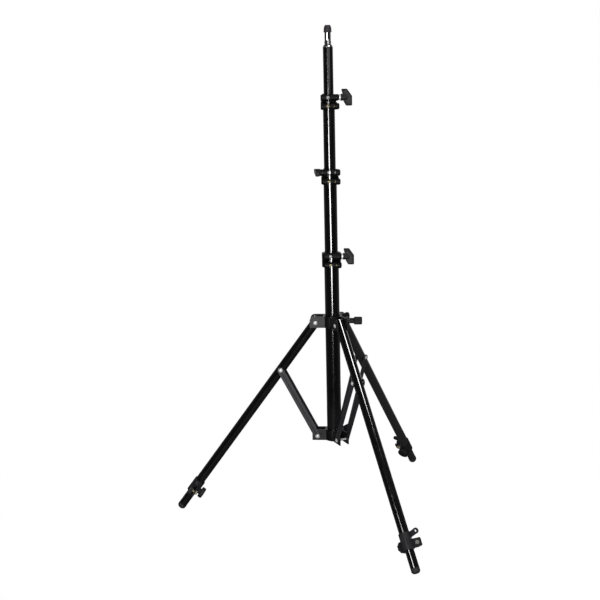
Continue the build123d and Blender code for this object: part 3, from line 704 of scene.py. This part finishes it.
def threaded_rod(name, radius, pitch, first, last, sides=28):
    """A rod with a helical thread between two heights, in millimetres."""
    root = radius - 0.61 * pitch
    spare_turns = 2
    low = first - spare_turns * pitch
    bpy.ops.object.select_all(action="DESELECT")
    bpy.ops.mesh.primitive_plane_add(size=1.0)
    obj = bpy.context.object
    obj.name = name
    edit(obj, "VERT")
    bpy.ops.mesh.select_all(action="SELECT")
    bpy.ops.mesh.merge(type="CENTER")
    bpy.ops.transform.translate(value=(root * mm, 0, low * mm))
    flank_up = (radius - root, 0.40 * pitch)
    crest = (0, 0.15 * pitch)
    flank_down = (root - radius, 0.45 * pitch)
    for outwards, upwards in (flank_up, crest, flank_down):
        bpy.ops.mesh.extrude_region_move(TRANSFORM_OT_translate={"value": (outwards * mm, 0, upwards * mm)})
    turns = math.ceil((last - first) / pitch) + 2 * spare_turns
    apply_modifier(
        obj, "SCREW", axis="Z", angle=2 * math.pi, steps=sides, render_steps=sides,
        screw_offset=pitch * mm, iterations=turns,
    )
    edit(obj, "EDGE")
    bpy.ops.mesh.select_all(action="SELECT")
    bpy.ops.mesh.remove_doubles(threshold=same_point)
    bpy.ops.mesh.bisect(plane_co=(0, 0, last * mm), plane_no=(0, 0, 1), use_fill=True, clear_outer=True)
    bpy.ops.mesh.select_all(action="SELECT")
    bpy.ops.mesh.bisect(plane_co=(0, 0, first * mm), plane_no=(0, 0, -1), use_fill=True, clear_outer=True)
    return close_up(obj)


print("helpers ready")

# %% [markdown]
# ## Spigot and thread cap
# The spigot is chromed: a plug in the top tube, a cone foot, a narrow flange and a plain stud that lamps
# clamp on, with a short threaded tip. It is turned here with tiny edge roundings, which catch the light. The
# soft plastic cap is turned too, hollow, so that it still looks right when it is pulled off.

# %% Turn the spigot, its thread and the cap
column_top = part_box("section_4_tube")[1][2]
at_top = Matrix.Translation((0, 0, column_top))
spigot = turned("spigot_stud", [
    (10.6, -25.0), (10.97, -24.6), (10.97, 0.02), (11.7, 0.04), (12.0, 0.3), (11.9, 0.8), (10.0, 4.7),
    (9.7, 5.0), (8.2, 5.02), (8.0, 5.3), (8.0, 7.2), (8.2, 7.5), (8.6, 7.52), (8.8, 7.75), (8.8, 12.2),
    (8.6, 12.48), (8.2, 12.5), (8.0, 12.8), (8.0, 37.6), (7.85, 38.1), (7.5, 38.35), (7.0, 38.4),
    (2.3, 38.42),
], sides=96)
set_in(spigot, at_top)
hand_over(spigot, "section_4", "spigot_chrome", spigot_chrome, "spigot", angle=30)
tip = threaded_rod("spigot_thread", radius=3.175, pitch=1.27, first=38.3, last=47.6)
set_in(tip, at_top)
hand_over(tip, "section_4", "spigot_chrome", spigot_chrome, "spigot")

shoulder_radius = 17.5
shoulder_inset = 8.0
shoulder_height = 41.5
shoulder_sweep = 36.5
shoulder_steps = 8
shoulder = []
for step in range(shoulder_steps, -1, -1):
    angle = math.radians(shoulder_sweep * step / shoulder_steps)
    shoulder.append((
        shoulder_radius * math.cos(angle) - shoulder_inset,
        shoulder_height + shoulder_radius * math.sin(angle),
    ))
cap = turned("thread_cap", [
    (0.4, 51.95), (5.4, 51.98), (5.8, 51.95), *shoulder, (9.5, 40.4), (9.4, 39.9), (9.55, 39.5), (9.7, 38.4),
    (10.05, 34.9), (10.05, 34.55), (9.85, 34.4), (8.95, 34.4), (8.7, 34.7), (8.7, 38.7), (8.5, 38.75),
    (4.4, 38.76), (4.27, 39.0), (4.27, 47.8), (4.0, 47.94), (0.4, 47.95),
], sides=96)
set_in(cap, at_top)
hand_over(cap, "cap", "clamp_black", cap_plastic, "spigot_cap", angle=40)
print("spigot pieces:", [o.name for o in (spigot, tip, cap)])

# %% [markdown]
# ## T-knobs on the column clamps
# The knobs on the first and third clamp have one wing that leans towards the clamp and one that leans
# away; the second has a plain slanted bar. A cube is cut across at the stations where the outline bends, the
# corners of each cut are moved to the outline, and its two broad sides are inset and pressed in a little, as
# moulded handles are. Then all edges are rounded, and a turned boss with a flared foot is joined on.


# %% Model the winged handle
panel_margin = 2.6
panel_depth = 0.7
half_thickness = 5.5


def handle(name, stations, boss):
    """A moulded T-handle from (along, near, far) stations in millimetres, with a turned boss."""
    bpy.ops.object.select_all(action="DESELECT")
    bpy.ops.mesh.primitive_cube_add(size=2 * mm)
    obj = bpy.context.object
    obj.name = name
    first, last = stations[0][0], stations[-1][0]
    edit(obj, "VERT")
    bpy.ops.mesh.select_all(action="SELECT")
    bpy.ops.transform.resize(value=((last - first) / 2, half_thickness, 1.0), center_override=(0, 0, 0))
    bpy.ops.transform.translate(value=((first + last) / 2 * mm, 0, 0))
    for along_mm, _, _ in stations[1:-1]:
        bpy.ops.mesh.select_all(action="SELECT")
        bpy.ops.mesh.bisect(plane_co=(along_mm * mm, 0, 0), plane_no=(1, 0, 0))
    for along_mm, near, far in stations:
        for level, target in ((-1, near), (1, far)):
            pick(obj, "verts", lambda p: abs(p.x - along_mm) < 0.05 and abs(p.z - level) < 0.01)
            bpy.ops.transform.translate(value=(0, 0, (target - level) * mm))
    bpy.ops.mesh.select_mode(type="FACE")
    for side in (-1, 1):
        pick(obj, "faces", lambda p: abs(p.y - side * half_thickness) < 0.01)
        bpy.ops.mesh.inset(thickness=panel_margin * mm, depth=0)
        bpy.ops.mesh.inset(thickness=panel_depth * mm, depth=-panel_depth * mm)
    close_up(obj)
    round_edges(obj, width=2.2, segments=5, angle=50)
    combine(obj, turned(name + "_boss", boss, sides=48), "UNION")
    round_edges(obj, width=0.5, segments=2, angle=40)
    return obj


flared_boss = [(8.6, 0.0), (9.0, 0.3), (9.0, 1.2), (8.3, 2.4), (8.1, 4.5), (8.1, 15.0)]
winged = handle(
    "winged_handle",
    [(-20.5, 12.0, 27.0), (-9.0, 5.6, 27.0), (3.0, 4.1, 27.0), (9.0, 3.4, 22.7), (20.5, 0.6, 14.6)],
    flared_boss,
)
print("winged handle faces:", len(winged.data.polygons))

# %% Model the slanted handle and set the handles on the column clamps
slanted = handle(
    "slanted_handle",
    [(-20.5, 4.5, 20.7), (-7.0, 4.2, 18.3), (7.0, 4.0, 15.9), (20.5, 3.7, 13.5)],
    flared_boss,
)
upright = (0, 0, 1)
dip = math.radians(7)
forwards = (0, -math.cos(dip), -math.sin(dip))
for number, source, bar in ((1, winged, upright), (3, winged, upright), (2, slanted, forwards)):
    turn = joints[f"clamp_{number}_turn"]
    knob = copy_piece(source, f"clamp_{number}_handle")
    set_in(knob, axes_matrix(turn["pos_m"], bar, turn["axis"]))
    hand_over(knob, f"clamp_{number}_knob", "clamp_black", knob_plastic, f"clamp_{number}_knob")
for source in (winged, slanted):
    bpy.data.objects.remove(source)
print("column handles set")

# %% [markdown]
# ## Round knobs on the leg collar and the leg clamps
# These are round knobs with finger flutes on a slimmer neck. Each is turned as a plain round, then every
# fourth line of its head is drawn inwards to make the flutes, and a subdivision rounds them.


# %% Model the fluted knobs
def fluted_knob(name, outline, flutes, head_start, rim_radius, flute_scale):
    """A turned knob whose head, above a height and outside a radius, is drawn in at each flute."""
    obj = turned(name, outline, sides=4 * flutes)
    edit(obj, "VERT")
    step = 2 * math.pi / flutes

    def in_flute(p):
        """Whether a point lies on the head's outside and on the middle line of a flute."""
        off_line = abs((math.atan2(p.y, p.x) + step / 2) % step - step / 2)
        return p.z > head_start and math.hypot(p.x, p.y) > rim_radius and off_line < 0.1 * step

    pick(obj, "verts", in_flute)
    bpy.ops.transform.resize(value=(flute_scale, flute_scale, 1), center_override=(0, 0, 0))
    close_up(obj)
    round_edges(obj, width=0.25, segments=2, angle=45)
    apply_modifier(obj, "SUBSURF", levels=2, render_levels=2)
    return obj


lock = fluted_knob("lock_handle", [
    (6.6, 0.0), (7.2, 0.5), (7.2, 9.8), (7.6, 10.8), (9.2, 11.2), (10.3, 12.4), (10.3, 15.0), (10.3, 25.0),
    (10.3, 29.0), (9.3, 31.4), (8.2, 32.0), (6.6, 32.0), (6.0, 31.4), (0.6, 31.2),
], flutes=14, head_start=11.0, rim_radius=9.0, flute_scale=0.89)
turn = joints["collar_lock_turn"]
set_in(lock, axes_matrix(turn["pos_m"], (0, 0, 1), turn["axis"]))
hand_over(lock, "collar_lock", "clamp_black", knob_plastic, "collar_lock_knob", angle=50)

leg_knob = fluted_knob("leg_handle", [
    (7.8, 0.0), (8.2, 0.3), (8.2, 0.8), (8.8, 1.0), (13.9, 1.1), (15.2, 2.4), (15.2, 4.0), (15.2, 9.0),
    (15.2, 10.7), (13.9, 11.9), (12.2, 12.0), (11.4, 11.4), (0.8, 11.2),
], flutes=10, head_start=1.05, rim_radius=13.2, flute_scale=0.91)
for leg, place in leg_frames.items():
    turn = joints[f"leg_{leg}_clamp_turn"]
    knob = copy_piece(leg_knob, f"leg_{leg}_handle")
    set_in(knob, axes_matrix(turn["pos_m"], place.col[0].to_3d(), turn["axis"]))
    hand_over(knob, f"leg_{leg}_knob", "clamp_black", knob_plastic, f"leg_{leg}_knob", angle=50)
bpy.data.objects.remove(leg_knob)
print("round knob faces:", len(lock.data.polygons))

# %% [markdown]
# ## Screws, nuts, bolts and washers
# The clamp screws show between the jaws and beyond their nuts, so they get a real helical thread. Nuts and
# bolt heads start as six-sided cylinders with chamfered corners. Each bought part is made once on the z
# axis and copied to every clamp.

# %% Thread the clamp screws
screw_spans = {
    "clamp_1": (-47.3, 12.0),
    "clamp_2": (-37.3, 12.0),
    "clamp_3": (-47.3, 12.0),
    "collar_lock": (-24.5, 12.0),
}
screw_spans.update({f"leg_{leg}_clamp": (-6.0, 9.0) for leg in leg_frames})
thread_start = (0.1, 0.2, 1)
for name, (first, last) in screw_spans.items():
    turn = joints[name + "_turn"]
    node = name.replace("_clamp", "") + "_screw"
    screw = threaded_rod(node + "_thread", radius=4.0, pitch=1.25, first=first, last=last)
    set_in(screw, axes_matrix(turn["pos_m"], thread_start, turn["axis"]))
    hand_over(screw, turn["child"], "steel", pale_zinc, node)
print("threaded screws:", len(screw_spans))


# %% Model a hexagon and a washer
def hexagon(name, flats, height, bore):
    """A nut, or a plain head where the bore is zero: six sides with chamfered corners, in millimetres."""
    bpy.ops.object.select_all(action="DESELECT")
    bpy.ops.mesh.primitive_cylinder_add(
        vertices=6, radius=flats / math.sqrt(3) * mm, depth=height * mm,
        location=(0, 0, height / 2 * mm), rotation=(0, 0, math.radians(30)),
    )
    obj = bpy.context.object
    obj.name = name
    bpy.ops.object.transform_apply(location=True, rotation=True, scale=True)
    face = flats / 2 - 0.2
    corner = flats / 2 + 0.9
    chamfer = 0.65
    cone = turned(name + "_cone", [
        (face, 0.0), (corner, chamfer), (corner, height - chamfer), (face, height),
    ], sides=48)
    combine(obj, cone, "INTERSECT")
    if bore > 0:
        combine(obj, turned(name + "_hole", [(bore, -1.0), (bore, height + 1.0)], sides=32), "DIFFERENCE")
    round_edges(obj, width=0.15, segments=2, angle=35)
    return obj


def ring(name, inner, outer, height):
    """A washer with a chamfered rim, turned and then bored."""
    rim = 0.5
    obj = turned(name, [
        (outer - rim, 0.0), (outer, rim), (outer, height - rim), (outer - rim, height),
    ], sides=64)
    combine(obj, turned(name + "_hole", [(inner, -1.0), (inner, height + 1.0)], sides=48), "DIFFERENCE")
    round_edges(obj, width=0.2, segments=2, angle=35)
    return obj


big_nut = hexagon("big_nut", flats=13.0, height=6.5, bore=4.05)
bolt_head = hexagon("bolt_head", flats=10.0, height=4.2, bore=0.0)
small_nut = hexagon("small_nut", flats=10.0, height=4.9, bore=0.0)
thrust_ring = ring("thrust_ring", inner=4.3, outer=7.8, height=4.0)
long_bolt = threaded_rod("long_bolt", radius=3.0, pitch=1.0, first=0.0, last=28.5)
short_bolt = threaded_rod("short_bolt", radius=3.0, pitch=1.0, first=-0.1, last=13.0)
print("bought parts modelled")


# %% Set the fasteners on the clamps
def set_fasteners(owner, body, node, settings):
    """Copies bought parts to their places on one clamp."""
    for label, source, place, finish in settings:
        piece = copy_piece(source, f"{owner}_{label}")
        set_in(piece, place)
        hand_over(piece, body, "steel", finish, node, angle=30)


washer_back = 4.3 * mm
ear_face = -8.5 * mm
split_face = -0.5 * mm
fixing_drop = {1: 22.8 * mm, 2: 22.8 * mm, 3: 21.5 * mm}
column_bodies = {1: "column", 2: "section_2", 3: "section_3"}
for number, body in column_bodies.items():
    turn = joints[f"clamp_{number}_turn"]
    knob_place = Vector(turn["pos_m"])
    outwards = Vector(turn["axis"])
    nut_in_split = number == 2
    nut_face = split_face if nut_in_split else ear_face
    washer_seat = knob_place - outwards * washer_back
    nut_seat = Vector((nut_face, knob_place.y, knob_place.z))
    fixed = Vector((ear_face, knob_place.y, knob_place.z - fixing_drop[number]))
    washer_finish = black_steel if nut_in_split else pale_zinc
    nut_finish = pale_zinc if nut_in_split else black_steel
    set_fasteners(f"clamp_{number}", body, f"clamp_{number}_hardware", (
        ("washer", thrust_ring, axes_matrix(washer_seat, upright, outwards), washer_finish),
        ("nut", big_nut, axes_matrix(nut_seat, upright, -outwards), nut_finish),
        ("fixing_head", bolt_head, axes_matrix(fixed, upright, (-1, 0, 0)), black_steel),
        ("fixing_bolt", long_bolt, axes_matrix(fixed, upright, (1, 0, 0)), yellow_zinc),
    ))

bolt_out = 22.0 * mm
bolt_down = 577.0 * mm
head_side = 7.0 * mm
nut_side = 5.05 * mm
for leg, place in leg_frames.items():
    across = place.col[1].to_3d()
    lengthwise = place.col[2].to_3d()
    bolt_axis = place @ Vector((bolt_out, 0, bolt_down))
    under_head = bolt_axis - across * head_side
    under_nut = bolt_axis + across * nut_side
    set_fasteners(f"leg_{leg}", f"leg_{leg}", f"leg_{leg}_clamp_hardware", (
        ("bolt_head", bolt_head, axes_matrix(under_head, lengthwise, -across), yellow_zinc),
        ("bolt_nut", small_nut, axes_matrix(under_nut, lengthwise, across), aged_zinc),
        ("bolt", short_bolt, axes_matrix(under_head, lengthwise, across), yellow_zinc),
    ))
for source in (big_nut, bolt_head, small_nut, thrust_ring, long_bolt, short_bolt):
    bpy.data.objects.remove(source)
print("fasteners set")

# %% [markdown]
# ## Rubber feet
# A moulded rubber foot closes each leg's end: a plug inside the tube, a short skirt below it, two shallow
# grip grooves and a round nose. It is turned, and its nose is a true arc, so that it meets the floor as the
# CAD foot does.

# %% Turn the feet
foot_low = 634.0
foot_tip = 647.5
plug_radius = 9.77
plug_length = 16.0
skirt = 11.3
groove = 10.8
nose_radius = 8.0
nose_inset = 3.3
nose_steps = 12
nose = []
for step in range(nose_steps + 1):
    angle = math.pi / 2 * step / nose_steps
    nose.append((
        nose_inset + nose_radius * math.cos(angle),
        foot_tip - nose_radius + nose_radius * math.sin(angle),
    ))
foot = turned("rubber_foot", [
    (9.4, foot_low - plug_length), (plug_radius, foot_low - 15.6), (plug_radius, foot_low),
    (10.9, foot_low), (skirt, foot_low + 0.4), (skirt, foot_low + 1.6),
    (groove, foot_low + 1.9), (groove, foot_low + 2.5), (skirt, foot_low + 2.8), (skirt, foot_low + 3.9),
    (groove, foot_low + 4.2), (groove, foot_low + 4.8), *nose, (0.5, foot_tip),
], sides=72)
for leg, place in leg_frames.items():
    piece = copy_piece(foot, f"leg_{leg}_rubber_foot")
    set_in(piece, place)
    hand_over(piece, f"extension_{leg}", "foot_rubber", foot_rubber, f"leg_{leg}_foot", angle=40)
bpy.data.objects.remove(foot)
print("feet set")

# %% [markdown]
# ## Softer edges on the CAD pieces
# The clamps, collars and braces have the right shape already. A Weld modifier joins their triangles and a
# small Bevel breaks their sharp edges, so that each edge shows a thin line of light. The widths are in
# millimetres. Both modifiers stay live on the CAD nodes, whose own meshes aren't touched.

# %% Break the edges
weld_distance = 0.000002
soft_edges = {"leg_collar": 0.5, "brace_collar": 0.5}
soft_edges.update({f"clamp_{number}_body": 0.7 for number in (1, 2, 3)})
soft_edges.update({f"leg_{leg}_clamp": 0.6 for leg in leg_frames})
soft_edges.update({f"brace_{leg}_{side}": 0.4 for leg in leg_frames for side in ("left", "right")})
for name, width in soft_edges.items():
    weld = nodes[name].modifiers.new("join", "WELD")
    weld.merge_threshold = weld_distance
    bevel = nodes[name].modifiers.new("soft_edge", "BEVEL")
    bevel.width = width * mm
    bevel.segments = 3
    bevel.limit_method = "ANGLE"
    bevel.angle_limit = math.radians(40)
print("softened:", len(soft_edges))

# %% [markdown]
# ## Floor
# The floor is a round sheet of paper. For the camera it glows nearly as white as the backdrop. For the
# stand it is dark, so that little light comes back up to the black tubes.

# %% Paper floor
paper, tree, shader, place = new_finish("paper_floor")
fibre = tree.nodes.new("ShaderNodeTexNoise")
fibre.inputs["Scale"].default_value = 60.0
fibre.inputs["Detail"].default_value = 6.0
tree.links.new(place, fibre.inputs["Vector"])
sheet = blend_colours(tree, fibre.outputs["Fac"], (0.06, 0.06, 0.06), (0.08, 0.08, 0.08))
tree.links.new(sheet, shader.inputs["Base Color"])
shader.inputs["Roughness"].default_value = 0.9
shader.inputs["Emission Color"].default_value = (1, 1, 1, 1)
glow_strength = 0.97
seen = tree.nodes.new("ShaderNodeLightPath").outputs["Is Camera Ray"]
tree.links.new(math_node(tree, "MULTIPLY", seen, glow_strength), shader.inputs["Emission Strength"])
floor.data.materials.append(paper)
